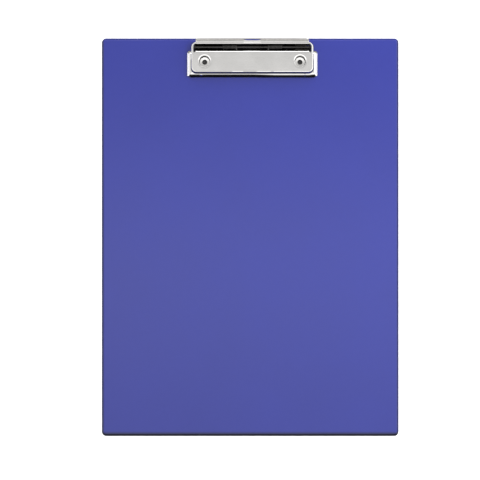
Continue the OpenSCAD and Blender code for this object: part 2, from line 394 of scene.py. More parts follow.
def film_material():
    """Blue plastic film: fine calender grain, slight cloudiness, long faint handling marks."""
    m, g, b, co = new_material("blue_film")
    cloud = g.noise(co, 14.0, 3.0, 0.55)
    mott = g.noise(co, 260.0, 3.0, 0.6)
    base = g.mixcol(g.span(cloud, 0.35, 0.65, 0.0, 1.0), FILM_A, FILM_B)
    base = g.mixcol(g.span(mott, 0.3, 0.7, 0.0, 0.10), base, FILM_C)
    # darkening under the clip, which stands in for the deep shadow there
    painted_clip_shade = zone(g, co, x=(-47.5, 47.5), y=(-9.0, 3.0), z=(-5.4, -3.0), soft=1.5)
    # painted light and shade: the blue is painted a little darker to lighter across the board, as the light
    # falls across it, and its welded border is painted darker, most at the foot, as painted shade
    d = g.add("ShaderNodeSeparateXYZ", [co]).outputs
    painted_light_falloff = g.math("ADD", g.math("ADD", 0.9, g.math("MULTIPLY", d[0], 0.36)),
                  g.math("MULTIPLY", g.math("MINIMUM", d[1], 0.0), 0.45))
    ex = g.math("SUBTRACT", BW / 2000.0, g.math("ABSOLUTE", d[0]))
    ey = g.math("SUBTRACT", BL / 2000.0, g.math("ABSOLUTE", d[1]))
    rim = g.math("MULTIPLY", g.span(ex, 0.0011, 0.0020, 0.40, 1.0), g.span(ey, 0.0008, 0.0016, 0.60, 1.0))
    foot = g.span(d[1], (1.7 - BL / 2) / 1000.0, (3.9 - BL / 2) / 1000.0, 0.12, 1.0)
    # painted shade along the welded border, strongest at the foot
    painted_edge_shade = g.math("MULTIPLY", rim, foot)
    painted_light_falloff = g.math("MULTIPLY", painted_light_falloff, painted_edge_shade)
    base = g.mixcol(painted_light_falloff, (0.0, 0.0, 0.0), base)
    # painted shade under the clip: the blue is mixed towards near black there
    base = g.mixcol(painted_clip_shade, base, (0.002, 0.002, 0.004))
    g.set(b, "Base Color", base)
    grain = g.noise(co, 3200.0, 2.0, 0.55)
    leather = g.noise(g.stretch(co, 1.0, 0.8, 1.0), 1100.0, 3.0, 0.6)
    streak = g.noise(g.stretch(co, 60.0, 260.0, 60.0), 1.0, 2.0, 0.5)
    rough = g.math("ADD", g.span(cloud, 0.3, 0.7, FILM_ROUGH - 0.01, FILM_ROUGH + 0.01),
                   g.span(streak, 0.62, 0.85, 0.0, 0.02))
    g.set(b, "Roughness", rough)
    h = g.math("ADD", g.math("MULTIPLY", grain, 0.35), g.math("MULTIPLY", leather, 0.65))
    bump = g.add("ShaderNodeBump", {"Strength": 0.22, "Distance": 0.00006, "Height": h})
    g.set(b, "Normal", bump.outputs[0])
    b.inputs["Specular IOR Level"].default_value = 0.5
    b.inputs["IOR"].default_value = 1.5
    return m


def zone(g, co, x=None, y=None, z=None, soft=0.15):
    """1 inside a box seen from the hinge (spans in mm), 0 outside, with soft borders."""
    parts = g.add("ShaderNodeSeparateXYZ", [co]).outputs
    out = None
    for k, span, mid in ((0, x, HX), (1, y, HY), (2, z, HZ)):
        if span is None:
            continue
        lo, hi = [(mid + v) / 1000.0 for v in span]
        e = soft / 1000.0
        t = g.math("MULTIPLY", g.span(parts[k], lo - e, lo + e, 0.0, 1.0), g.span(parts[k], hi - e, hi + e, 1.0, 0.0))
        out = t if out is None else g.math("MULTIPLY", out, t)
    return out


def metal_material(name, lo, hi, r0, r1, brush=(1, 1, 1), bump=0.05, spots=0.0, painted_dark_zones=None):
    """Plated sheet: faint rolling lines and stains in the shine, and fine pits. The zones in the last argument
    are painted shade and painted dark reflection: their colour is darkened to stand in for shade and dark
    surroundings, which the plain studio doesn't have."""
    m, g, b, co = new_material(name)
    stain = g.noise(co, 70.0, 4.0, 0.6)
    fine = g.noise(co, 900.0, 3.0, 0.6)
    line = g.noise(g.stretch(co, *[k * 60.0 for k in brush]), 1.0, 3.0, 0.6)
    base = g.mixcol(g.span(stain, 0.35, 0.65, 0.0, 1.0), lo, hi)
    if spots:
        pit = g.noise(co, 2100.0, 1.0, 0.5)
        base = g.mixcol(g.span(pit, 0.68, 0.78, 0.0, spots), base, [c * 0.45 for c in lo])
    # painted shade and painted dark reflection: the colour inside these zones is darkened towards near black
    if painted_dark_zones:
        dark = None
        for box in painted_dark_zones:
            k = box.pop("share", 1.0)
            q = g.math("MULTIPLY", zone(g, co, **box), k)
            dark = q if dark is None else g.math("MAXIMUM", dark, q)
        dark = g.math("MULTIPLY", dark, g.span(stain, 0.3, 0.7, 1.0, 0.94))
        base = g.mixcol(dark, base, (0.022, 0.021, 0.020))
    g.set(b, "Base Color", base)
    b.inputs["Metallic"].default_value = 1.0
    r = g.math("ADD", g.span(stain, 0.3, 0.7, r0, r1), g.span(line, 0.5, 0.75, 0.0, (r1 - r0) * 0.8))
    r = g.math("ADD", r, g.span(fine, 0.55, 0.8, 0.0, (r1 - r0) * 0.5))
    if painted_dark_zones:
        r = g.math("MAXIMUM", r, g.math("MULTIPLY", dark, 0.34))
    g.set(b, "Roughness", r)
    h = g.math("ADD", g.math("MULTIPLY", line, 0.6), g.math("MULTIPLY", fine, 0.4))
    bp = g.add("ShaderNodeBump", {"Strength": bump, "Distance": 0.00003, "Height": h})
    g.set(b, "Normal", bp.outputs[0])
    return m


def board_material():
    """Grey board seen only where it is cut: pressed paper fibres."""
    m, g, b, co = new_material("greyboard")
    f = g.noise(g.stretch(co, 1.0, 1.0, 6.0), 900.0, 6.0, 0.7)
    c = g.noise(co, 120.0, 3.0, 0.5)
    base = g.mixcol(g.span(f, 0.3, 0.7, 0.0, 1.0), (0.20, 0.17, 0.13), (0.36, 0.32, 0.26))
    base = g.mixcol(g.span(c, 0.4, 0.7, 0.0, 0.35), base, (0.16, 0.14, 0.12))
    g.set(b, "Base Color", base)
    g.set(b, "Roughness", g.span(f, 0.3, 0.7, 0.85, 0.95))
    bp = g.add("ShaderNodeBump", {"Strength": 0.5, "Distance": 0.0001, "Height": f})
    g.set(b, "Normal", bp.outputs[0])
    return m


FILM_A, FILM_B, FILM_C = (0.0194, 0.0280, 0.248), (0.0206, 0.0299, 0.262), (0.028, 0.040, 0.297)
FILM_ROUGH = 0.19
FILM = film_material()
# the zones round the bosses are painted shade, darkening the colour down in the drawn bosses
PLATE = metal_material("bright_plate", (0.70, 0.69, 0.675), (0.73, 0.72, 0.705), 0.07, 0.11,
                       brush=(0.25, 8, 8), bump=0.03,
                       painted_dark_zones=[dict(x=(s * RX - 6.0, s * RX + 6.0), y=(RY - 6.0, RY + 6.0), z=(-3.6, 2.75))
                             for s in (-1, 1)])
# its zones are painted shade in the window's trough, beside the ears, on the lever's foot and on the shelf, and a
# painted dark reflection on the lip's lower slope
JAWM = metal_material("bright_jaw", (0.72, 0.71, 0.69), (0.75, 0.74, 0.72), 0.06, 0.10,
                      brush=(0.25, 8, 8), bump=0.03,
                      painted_dark_zones=[dict(x=(-45.9, 45.9), y=(-3.5, 1.3), z=(-5.0, 1.1)),
                            dict(x=(-45.9, 34.0), y=(1.0, 3.2), z=(-5.0, 1.1)),
                            dict(x=(-46.5, -44.9), y=(-3.2, 3.2), z=(-3.3, 3.0)),
                            dict(x=(44.9, 46.5), y=(-3.2, 3.2), z=(-3.3, 3.0)),
                            dict(x=(-49.0, 49.0), y=(-24.5, -22.4), z=(-6.0, -1.75)),
                            dict(x=(-45.0, 45.0), y=(4.9, 5.7), z=(1.9, 8.5), share=0.13),
                            dict(x=(-45.0, 45.0), y=(3.6, 4.75), z=(1.2, 1.7), share=0.15)])
# its zones are painted shade down the rivets' bores
RIVET = metal_material("rivet_plate", (0.66, 0.65, 0.63), (0.72, 0.71, 0.69), 0.12, 0.22,
                       bump=0.06, spots=0.4,
                       painted_dark_zones=[dict(x=(s * RX - 1.95, s * RX + 1.95), y=(RY - 1.95, RY + 1.95), z=(-7.3, -3.6))
                             for s in (-1, 1)])
# the pin and the spring wire are coloured near black, painted shade for their place deep in the window's trough
PIN = metal_material("steel_pin", (0.050, 0.048, 0.046), (0.075, 0.073, 0.070), 0.22, 0.34,
                     brush=(20, 2, 2), bump=0.10, spots=0.5)
WIRE = metal_material("spring_wire", (0.045, 0.044, 0.042), (0.070, 0.068, 0.066), 0.25, 0.38,
                      brush=(6, 6, 6), bump=0.12, spots=0.5)
CORE = board_material()


# ------------------------------------------------------------------- board --
def board_path(h_straight=6.0, n_corner=14):
    """The board's outline as base points, the corner centres' offsets and outward directions."""
    hx, hy, r = BW / 2, BL / 2, BR
    P, D = [], []
    corners = [(hx - r, hy - r, 0), (-hx + r, hy - r, 90), (-hx + r, -hy + r, 180), (hx - r, -hy + r, 270)]
    for i, (cx, cy, a0) in enumerate(corners):
        for k in range(n_corner + 1):
            a = math.radians(a0 + 90.0 * k / n_corner)
            D.append((math.cos(a), math.sin(a)))
            P.append((cx + r * math.cos(a), cy + r * math.sin(a)))
        nx, ny, na = corners[(i + 1) % 4]
        p0 = np.array(P[-1])
        p1 = np.array([nx + r * math.cos(math.radians(na)), ny + r * math.sin(math.radians(na))])
        m = max(1, int(np.linalg.norm(p1 - p0) / h_straight))
        for k in range(1, m):
            P.append(tuple(p0 + (p1 - p0) * k / m))
            D.append(D[-1])
    return np.array(P), np.array(D)


def waviness(x, y):
    """Height of the film over a perfectly flat board, never above it."""
    w = (np.sin(x / 31.0 + 0.6) * np.sin(y / 43.0 + 1.1) + 0.6 * np.sin(x / 17.0 - y / 29.0 + 2.0)
         + 0.35 * np.sin(y / 11.0 + x / 53.0)) / 1.95
    edge = np.clip(np.minimum(BW / 2 - np.abs(x), BL / 2 - np.abs(y)) / 14.0, 0, 1)
    clip = np.clip(np.hypot(np.maximum(np.abs(x - HX) - 56, 0), np.minimum(y - 122, 0)) / 18.0, 0, 1)
    return -0.022 * (1 - w) * edge * clip


def cover(front):
    """Film tray with a welded border: outer skin, weld face, inner wall and ceiling."""
    P, D = board_path()
    n = len(P)
    z_top, z_weld = BT, BT / 2
    # outer skin from the flat face to the weld face: (inset, height)
    prof = [(3.2, z_top), (1.3, z_top), (0.36, z_weld + 0.20), (0.0, z_weld + 0.12), (0.0, z_weld)]
    rad = [0, 3.2, 0.25, 0.10, 0]
    Q, Nn = [], []
    pr = np.array(prof)
    for i in range(len(pr)):
        if i in (0, len(pr) - 1):
            d = unit(pr[1] - pr[0]) if i == 0 else unit(pr[-1] - pr[-2])
            Q.append(pr[i]); Nn.append([0.0, 1.0] if i == 0 else [1.0, 0.0])
            continue
        p, a, b = pr[i], pr[i - 1], pr[i + 1]
        d1, d2 = unit(p - a), unit(b - p)
        ang = math.acos(float(np.clip(d1 @ d2, -1, 1)))
        cut = min(rad[i] * math.tan(ang / 2), 0.48 * np.linalg.norm(p - a), 0.48 * np.linalg.norm(b - p))
        s, e = p - d1 * cut, p + d2 * cut
        k = 8
        for j in range(k + 1):
            f = j / k
            Q.append((1 - f) ** 2 * s + 2 * f * (1 - f) * p + f * f * e)
            dd = unit((1 - f) * (p - s) + f * (e - p))
            Nn.append([-dd[1], -dd[0]])
    Q, Nn = np.array(Q), np.array(Nn, float)
    # Nn holds (outward, up): travelling outwards means a falling inset
    rings, normals = [], []
    for (ins, z), (nr, nz) in zip(Q, Nn):
        xy = P - D * ins
        wob = 0.05 * np.sin(P[:, 0] / 9.0 + P[:, 1] / 13.0) * (0.3 < ins < 2.2)
        xy = xy - D * wob[:, None]
        rings.append(np.column_stack([xy, np.full(n, z)]))
        normals.append(np.column_stack([D * nr, np.full(n, nz)]))
    hole = shank_hole_loops() if front else recess_loops()
    outer = rings[0][:, :2]
    holes2d = [h[::-1] for h in hole]
    # flat face
    xs = np.arange(-BW / 2 + 6, BW / 2 - 5.9, 5.0)
    ys = np.arange(-BL / 2 + 6, BL / 2 - 5.9, 5.0)
    pts = grid_points(xs, ys)
    loops = [outer] + holes2d
    pts = pts[inside(pts, [outer]) & ~near_loops(pts, loops, 1.5)]
    for h in holes2d:
        pts = pts[~inside(pts, [h])]
    base = np.concatenate(loops + [pts])
    edges, k = [], 0
    for L in loops:
        m = len(L)
        edges += [(k + i, k + (i + 1) % m) for i in range(m)]
        k += m
    got = delaunay_2d_cdt([Vector(p) for p in base], edges, [], 0, 1e-6, True)
    first = np.array([o[0] for o in got[3]])
    tri = first[np.array([f for f in got[2] if len(f) == 3])]
    tri = tri[inside(base[tri].mean(1), loops)]
    a, b, c = base[tri[:, 0]], base[tri[:, 1]], base[tri[:, 2]]
    ar = (b - a)[:, 0] * (c - a)[:, 1] - (b - a)[:, 1] * (c - a)[:, 0]
    tri = np.where((ar > 0)[:, None], tri, tri[:, ::-1])
    face = np.column_stack([base, np.full(len(base), z_top) + waviness(base[:, 0], base[:, 1])])
    e = 0.5
    gx = (waviness(base[:, 0] + e, base[:, 1]) - waviness(base[:, 0] - e, base[:, 1])) / (2 * e)
    gy = (waviness(base[:, 0], base[:, 1] + e) - waviness(base[:, 0], base[:, 1] - e)) / (2 * e)
    fn = unit(np.column_stack([-gx, -gy, np.ones(len(base))]))
    V, N, F = [face], [fn], [tuple(t) for t in tri]
    off = len(base)
    i0 = np.arange(n)
    i1 = (i0 + 1) % n
    prev = i0
    for r, nn in zip(rings[1:], normals[1:]):
        V.append(r); N.append(nn)
        cur = off + i0
        F += list(map(tuple, np.stack([prev[i0], cur[i0], cur[i1], prev[i1]], 1)))
        off += n
        prev = cur
    # weld face, inner wall and ceiling: flat, with their own points so that they shade flat
    def ring(ins, z, nrm):
        nonlocal off
        xy = P - D * ins
        if ins > BR:
            xy = P - D * BR - D * 0
        V.append(np.column_stack([xy, np.full(n, z)]))
        N.append(np.column_stack([D * nrm[0], np.full(n, nrm[1])]))
        off += n
        return off - n + i0
    a0, a1 = ring(0.0, z_weld, (0, -1)), ring(1.9, z_weld, (0, -1))
    F += list(map(tuple, np.stack([a0[i0], a1[i0], a1[i1], a0[i1]], 1)))
    b0, b1 = ring(1.9, z_weld, (-1, 0)), ring(1.9, z_top - 0.3, (-1, 0))
    F += list(map(tuple, np.stack([b0[i0], b1[i0], b1[i1], b0[i1]], 1)))
    # ceiling
    inner = (P - D * 1.9)
    loops2 = [inner] + holes2d
    base2 = np.concatenate(loops2)
    edges, k = [], 0
    for L in loops2:
        m = len(L)
        edges += [(k + i, k + (i + 1) % m) for i in range(m)]
        k += m
    got = delaunay_2d_cdt([Vector(p) for p in base2], edges, [], 0, 1e-6, True)
    first = np.array([o[0] for o in got[3]])
    tri = first[np.array([f for f in got[2] if len(f) == 3])]
    tri = tri[inside(base2[tri].mean(1), loops2)]
    a, b, c = base2[tri[:, 0]], base2[tri[:, 1]], base2[tri[:, 2]]
    ar = (b - a)[:, 0] * (c - a)[:, 1] - (b - a)[:, 1] * (c - a)[:, 0]
    tri = np.where((ar > 0)[:, None], tri[:, ::-1], tri)
    V.append(np.column_stack([base2, np.full(len(base2), z_top - 0.3)]))
    N.append(np.tile([0, 0, -1.0], (len(base2), 1)))
    F += [tuple(t + off) for t in tri]
    c_off = off
    off += len(base2)
    # the hole walls; the line below, which would stitch the inner wall's upper ring to the ceiling, runs over an empty
    # range and adds no faces
    F += [(b1[i], c_off + i, c_off + (i + 1) % n, b1[(i + 1) % n]) for i in range(0)]
    ko, k2 = len(loops[0]), len(loops2[0])
    for h in holes2d:
        m = len(h)
        cen = h.mean(0)
        dirs = unit(cen - h)
        lo_z = z_top - 0.3
        V.append(np.column_stack([h, np.full(m, z_top)])); N.append(np.column_stack([dirs, np.zeros(m)]))
        V.append(np.column_stack([h, np.full(m, lo_z)])); N.append(np.column_stack([dirs, np.zeros(m)]))
        for i in range(m):
            j = (i + 1) % m
            F.append((off + i, off + m + i, off + m + j, off + j))
        off += 2 * m
    V, N = np.concatenate(V), np.concatenate(N)
    return V, F, N


def circle_loop(cx, cy, r, n=48):
    a = np.linspace(0, 2 * math.pi, n, endpoint=False)
    return np.stack([cx + r * np.cos(a), cy + r * np.sin(a)], 1)


def shank_hole_loops():
    return [circle_loop(HX + s * RX, HY + RY, 2.5) for s in (-1, 1)]


def recess_loops():
    return [circle_loop(HX + s * RX, HY + RY, 4.7, 64) for s in (-1, 1)]


def flipped(bit, z):
    """Turns a board-frame mesh upside down about the height z."""
    v, f, nn = bit
    v = v.copy(); nn = nn.copy()
    v[:, 2] = z - v[:, 2]
    nn[:, 2] = -nn[:, 2]
    return v, [tuple(reversed(g)) for g in f], nn


v, f, nn = cover(True)
front = make_object("film_front", v, f, nn, ROOT, FILM, ["front_cover"], local=False)
v, f, nn = flipped(cover(False), BT)
back = make_object("film_back", v, f, nn, ROOT, FILM, ["back_cover"], local=False)


# ------------------------------------------------------------- fixed plate --
T = 0.8                                # sheet thickness
PR = 0.86                              # outer radius of the plate's bends
P_CORE = (-44.0, -16.0, 44.0, -0.2)    # corner centres of the plate, plan radius 4
P_FLAT = 4.0 - PR
P_RIM = P_FLAT + PR * math.pi / 2 + 0.3
PR_BACK = 0.5                          # tighter bend along the rear edge
PR_FRONT = 0.45                        # and a little tighter along the front edge
W_START = -4.35                        # start of the window flange's bend
BOSS_OUT, BOSS_IN = 6.3, 2.5


def boss_profile():
    """Skin of the drawn boss from the flat top inwards: shallow dish, edge, steep wall, flat floor."""
    pts = [(6.3, 3.2), (5.6, 3.2)]
    th = 0.0
    r, z = 5.6, 3.2

    def turn(radius, to, n):
        nonlocal r, z, th
        d = (to - th) / n
        for _ in range(n):
            mid = math.radians(th + d / 2)
            chord = 2 * radius * math.sin(math.radians(d) / 2)
            r, z, th = r - chord * math.cos(mid), z - chord * math.sin(mid), th + d
            pts.append((r, z))

    turn(5.4, 11.5, 10)
    turn(0.2, 89.8, 14)
    foot = -3.4 + 0.14
    r2 = r - (z - foot) / math.tan(math.radians(89.8))
    for k in range(1, 13):
        pts.append((r + (r2 - r) * k / 12, z + (foot - z) * k / 12))
    for k in range(1, 6):
        t = math.radians(90 * k / 5)
        pts.append((r2 - 0.14 * (1 - math.cos(t)), foot - 0.14 * math.sin(t)))
    pts.append((2.5, -3.4))
    pts = np.array(pts)
    s = np.concatenate([[0], np.cumsum(np.linalg.norm(np.diff(pts, axis=0), axis=1))])
    return pts, s


B_PTS, B_S = boss_profile()
# slight roll-off of the front edge, mm of drop; stations along the clip in mm
ROLL_X = [-50, -16.2, -15.2, -7.4, -6.6, -4.6, 3.0, 3.8, 14.6, 15.2, 16.2, 17.2, 43, 46, 50]
ROLL_A = [-0.014, -0.014, 0.026, 0.026, -0.012, -0.012, -0.009, 0.026, 0.026, -0.013, -0.013, 0.024, 0.024, 0.0, -0.01]


def window_bend(u):
    """Distance out and down over the window flange's bend, u along the skin: gentle first, then tighter."""
    r1, r2, t1 = 1.9, 0.9, math.radians(36)
    a = np.where(u < r1 * t1, u / r1, t1 + (u - r1 * t1) / r2)
    a = np.clip(a, 0, math.pi / 2)
    over = np.maximum(u - W_ARC, 0)
    h = np.where(a < t1, r1 * np.sin(a), r1 * math.sin(t1) + r2 * (np.sin(a) - math.sin(t1)))
    d = np.where(a < t1, r1 * (1 - np.cos(a)), r1 * (1 - math.cos(t1)) + r2 * (math.cos(t1) - np.cos(a)))
    return np.where(u < 0, u, h), np.where(u < 0, 0, d + over)


W_ARC = 1.9 * math.radians(36) + 0.9 * math.radians(54)


def plate_radius(dx, dy):
    """Outer radius of the rim's bend in a direction seen from a corner centre."""
    return PR + (PR_BACK - PR) * back_share(dx, dy) + (PR_FRONT - PR) * back_share(dx, -dy)


def back_share(dx, dy):
    """0 at the front and sides of the plate, 1 along its rear edge."""
    t = np.clip((np.degrees(np.arctan2(np.maximum(dy, 0), np.maximum(np.abs(dx), 1e-9))) - 42) / 30, 0, 1)
    return t * t * (3 - 2 * t)


def plate_map(p):
    x, y = p[:, 0], p[:, 1]
    cx, cy = np.clip(x, P_CORE[0], P_CORE[2]), np.clip(y, P_CORE[1], P_CORE[3])
    dx, dy = x - cx, y - cy
    dist = np.hypot(dx, dy)
    r = plate_radius(dx, dy)
    flat = 4.0 - r
    h, drop = bend_out(dist - flat, r)
    bent = dist > flat
    s = np.where(bent, (flat + h) / np.maximum(dist, 1e-9), 1.0)
    X, Y, Z = cx + dx * s, cy + dy * s, 3.2 - np.where(bent, drop, 0.0)
    # roll-off in front
    t = np.clip((-y - 19.18) / 0.5, 0, 1)
    Z = Z - np.interp(x, ROLL_X, ROLL_A) * (t * t * (3 - 2 * t)) * (np.abs(x) < 46)
    # the strip behind the window rises very slightly to the back
    Z = Z - 0.035 * np.clip((3.6 - y) / 1.3, 0, 1) * np.clip((y - 1.6) / 0.7, 0, 1) * np.clip((45.5 - np.abs(x)) / 2.0, 0, 1)
    # window flange
    f = (np.abs(x) < 45.55) & (y > W_START) & (y < 0.2)
    hf, df = window_bend(y - W_START)
    Y = np.where(f, W_START + hf, Y)
    Z = np.where(f, 3.2 - df, Z)
    # bosses
    for sx in (-1, 1):
        ux, uy = x - sx * RX, y - RY
        r = np.hypot(ux, uy)
        b = r < BOSS_OUT
        q = np.clip((BOSS_OUT - r) / (BOSS_OUT - BOSS_IN), 0, 1.3) * B_S[-1]
        rr = np.interp(q, B_S, B_PTS[:, 0])
        zz = np.interp(q, B_S, B_PTS[:, 1])
        rr = np.where(q > B_S[-1], B_PTS[-1, 0] - (q - B_S[-1]), rr)
        k = rr / np.maximum(r, 1e-9)
        X = np.where(b, sx * RX + ux * k, X)
        Y = np.where(b, RY + uy * k, Y)
        Z = np.where(b, zz, Z)
    return np.stack([X, Y, Z], 1)


def ear_flat(y, depth):
    """Flat-pattern place on the right-hand ear of a point at y', depth below the plate's top."""
    u = P_FLAT + PR * math.pi / 2 + (depth - PR)
    if y <= P_CORE[3]:
        return (P_CORE[2] + u, y)
    phi = math.asin((y - P_CORE[3]) / 4.0)
    return (P_CORE[2] + u * math.cos(phi), P_CORE[3] + u * math.sin(phi))


def soften(pts, radii, n=5):
    return fillet(np.array(pts, float), radii, n)[0]


def plate_outline():
    right = []                                         # from the front centre to the rear centre
    right += [(0.0, P_CORE[1] - P_RIM - 0.13)]
    for a in np.linspace(-90, 0, 23):
        c, e = math.cos(math.radians(a)), math.sin(math.radians(a))
        q = P_RIM + 0.13 * float(back_share(np.array([c]), np.array([-e]))[0])
        right.append((P_CORE[2] + q * c, P_CORE[1] + q * e))
    low = [ear_flat(-2.2, 1.4), ear_flat(-2.2, 3.2)]
    ang = np.radians(np.linspace(-82, 82, 25))
    low += [ear_flat(2.2 * math.sin(a), 3.2 + 2.2 * math.cos(a)) for a in ang]
    low += [ear_flat(2.2, 3.2), ear_flat(2.2, 1.4)]
    phi = math.degrees(math.asin(2.4 / 4.0))
    n0 = len(right)
    right += low
    for a in np.linspace(phi + 2.0, 90, 19):
        c, e = math.cos(math.radians(a)), math.sin(math.radians(a))
        q = P_RIM + 0.35 * float(back_share(np.array([c]), np.array([e]))[0])
        right.append((P_CORE[2] + q * c, P_CORE[3] + q * e))
    rad = [0.0] * len(right)
    rad[n0] = 0.4
    rad[n0 + len(low) - 1] = 0.4
    left = [(-x, y) for x, y in right[::-1]][:-1]
    pts = right + left
    rad = rad + rad[::-1][:-1]
    return soften(pts, rad)


def window_loop():
    w1 = W_START + W_ARC + 0.44
    pts = [(-46.5, -4.6), (-44.6, -4.6), (-44.6, w1), (44.6, w1), (44.6, -4.6), (46.5, -4.6),
           (46.5, 2.35), (-46.5, 2.35)]
    return soften(pts, [0.9, 0.9, 0.45, 0.45, 0.9, 0.9, 2.0, 2.0], 8)[::-1]


def pin_hole_loops():
    a = np.linspace(0, 2 * math.pi, 40, endpoint=False)
    r = [ear_flat(1.02 * math.sin(t), 3.2 - 1.02 * math.cos(t)) for t in a]
    r = np.array(r)
    x, y = r[:, 0], r[:, 1]
    ccw = (x * np.roll(y, -1) - np.roll(x, -1) * y).sum() > 0
    r = r[::-1] if ccw else r
    l = (r * np.array([-1.0, 1.0]))[::-1]
    return [r, l]


def ring_points(core, dists, step=1.2, corner_step=7.5, p=2.0):
    """Points on rounded rectangles at given distances outside a core rectangle."""
    out = []
    x0, y0, x1, y1 = core
    nx, ny = max(1, int((x1 - x0) / step)), max(1, int((y1 - y0) / step))
    xs, ys = np.linspace(x0, x1, nx + 1), np.linspace(y0, y1, ny + 1)
    for d in dists:
        out += [np.stack([xs, np.full(nx + 1, y0 - d)], 1), np.stack([xs, np.full(nx + 1, y1 + d)], 1)]
        out += [np.stack([np.full(ny + 1, x0 - d), ys], 1), np.stack([np.full(ny + 1, x1 + d), ys], 1)]
        for cx, cy, a0 in ((x1, y0, -90), (x1, y1, 0), (x0, y1, 90), (x0, y0, 180)):
            a = np.radians(np.arange(a0 + corner_step, a0 + 89.9, corner_step))
            k = d / (np.abs(np.cos(a)) ** p + np.abs(np.sin(a)) ** p) ** (1 / p)
            out.append(np.stack([cx + k * np.cos(a), cy + k * np.sin(a)], 1))
    return np.concatenate(out)


def polar_points(cx, cy, radii, n=80):
    a = np.linspace(0, 2 * math.pi, n, endpoint=False)
    return np.concatenate([np.stack([cx + r * np.cos(a), cy + r * np.sin(a)], 1) for r in radii])


def build_plate():
    outline = resample(plate_outline(), 1.2)
    window = resample(window_loop(), 1.0)
    holes = [window] + pin_hole_loops() + [circle_loop(s * RX, RY, BOSS_IN, 80)[::-1] for s in (-1, 1)]
    bend = [P_FLAT + PR * math.radians(a) for a in (-4, 2, 10, 20, 30, 40, 50, 60, 70, 80, 90)]
    pts = [ring_points(P_CORE, bend + [P_FLAT - 0.5, P_FLAT - 1.0, P_FLAT - 1.5, P_FLAT - 2.0])]
    # ears
    pts += [grid_points(np.arange(49.0, 53.0, 0.5) * s, np.arange(-2.0, 2.3, 0.5)) for s in (-1, 1)]
    # window flange
    fl = [W_START + u for u in (-0.15, 0, 0.26, 0.52, 0.78, 1.04, 1.2, 1.34, 1.48, 1.62, 1.76, 1.9, W_ARC)]
    pts.append(grid_points(np.linspace(-44.2, 44.2, 75), fl))
    # rear bend
    back = [P_CORE[3] + 4.0 - PR_BACK + PR_BACK * math.radians(a) for a in (-8, 5, 20, 35, 50, 65, 80, 95)]
    pts.append(grid_points(np.linspace(-44, 44, 74), back))
    # front bend
    front = [P_CORE[1] - 4.0 + PR_FRONT - PR_FRONT * math.radians(a) for a in (-26, -8, 5, 18, 31, 44, 57, 70, 83, 95)]
    pts.append(grid_points(np.linspace(-44, 44, 74), front))
    # flat top
    flat = grid_points(np.linspace(-44, 44, 45), np.linspace(-15.8, -4.6, 7))
    keep = np.ones(len(flat), bool)
    for s in (-1, 1):
        keep &= np.hypot(flat[:, 0] - s * RX, flat[:, 1] - RY) > 7.2
    pts.append(flat[keep])
    # bosses
    q = np.concatenate([B_S[:28], B_S[28:-1:2], [B_S[-1] - 0.5]])
    rad = BOSS_OUT - np.unique(np.round(q, 3)) / B_S[-1] * (BOSS_OUT - BOSS_IN)
    rad = np.concatenate([[7.0], rad])
    for s in (-1, 1):
        pts.append(polar_points(s * RX, RY, rad))
    allp = np.concatenate(pts)
    V, F, N = sheet([outline] + holes, plate_map, T, allp, re=0.1, n_edge=3, clear=0.16)
    return make_object("bridge_plate", V, F, N, ROOT, PLATE, ["clip_plate"])


plate = build_plate()


# ----------------------------------------------------------- jaw and lever --
J_CORE = (-48.45, -20.45, 48.45, -5.5)
J_P = 2.7                               # how square the drawn corners are


def rim_profile(steps):
    """Way outwards and down along a rim, from (radius, final tilt) turns and (0, length) straights."""
    u, h, d, th = [0.0], [0.0], [0.0], 0.0
    for radius, val in steps:
        if radius:
            n = 16
            dt = (val - th) / n
            for _ in range(n):
                mid = math.radians(th + dt / 2)
                c = 2 * radius * math.sin(math.radians(dt) / 2)
                u.append(u[-1] + radius * math.radians(dt))
                h.append(h[-1] + c * math.cos(mid)); d.append(d[-1] + c * math.sin(mid))
                th += dt
        else:
            n = 6
            for _ in range(n):
                u.append(u[-1] + val / n)
                h.append(h[-1] + val / n * math.cos(math.radians(th)))
                d.append(d[-1] + val / n * math.sin(math.radians(th)))
    return np.array(u), np.array(h), np.array(d)


SIDE = rim_profile([(2.4, 46.0), (0, 1.834)])                       # sloping side flange
LIP = rim_profile([(2.0, 46.0), (0, 1.90), (0.7, 88.0), (0, 1.10)])  # sloping lip with a straight edge
J_SIDE, J_LIP = SIDE[0][-1], LIP[0][-1]
J_RIM = J_SIDE
E_IN = 45.7                             # half width of the web and the dip


def jaw_path():
    """Middle line of web, dip and lever against its length, from y' = -6.5: points and angles."""
    seg = []
    pt, ang = np.array([-6.5, -1.0]), 0.0
    P, A, S = [pt.copy()], [0.0], [-6.5]

    def straight(length, n=6):
        nonlocal pt
        for _ in range(n):
            pt = pt + length / n * np.array([math.cos(ang), math.sin(ang)])
            P.append(pt.copy()); A.append(ang); S.append(S[-1] + length / n)

    def turn(r, da, n):
        nonlocal pt, ang
        for _ in range(n):
            d = math.radians(da) / n
            chord = 2 * r * math.sin(abs(d) / 2)
            mid = ang + d / 2
            pt = pt + chord * np.array([math.cos(mid), math.sin(mid)])
            ang = ang + d
            P.append(pt.copy()); A.append(ang); S.append(S[-1] + r * abs(d))

    straight(6.5 - 3.636)
    turn(1.2, -50, 24)
    straight(0.652, 3)
    turn(3.0, 120, 60)
    straight((1.1 - 0.9 * (1 - math.cos(math.radians(70))) - pt[1]) / math.sin(math.radians(70)), 4)
    narrow = S[-1]
    turn(0.9, -70, 24)
    straight(4.80 - pt[0], 3)
    turn(0.9, 89.4, 40)
    marks = S[-1]
    straight(8.75 - pt[1], 24)
    return np.array(P), np.array(A), np.array(S), marks, narrow


JP, JA, JS, J_LEV, J_NARROW = jaw_path()
J_END = JS[-1]
JS_SHELF = float(JS[np.searchsorted(JP[:, 0], 3.7)])
JS_FOOT = float(JS[np.searchsorted(JP[:, 0], 4.88)])


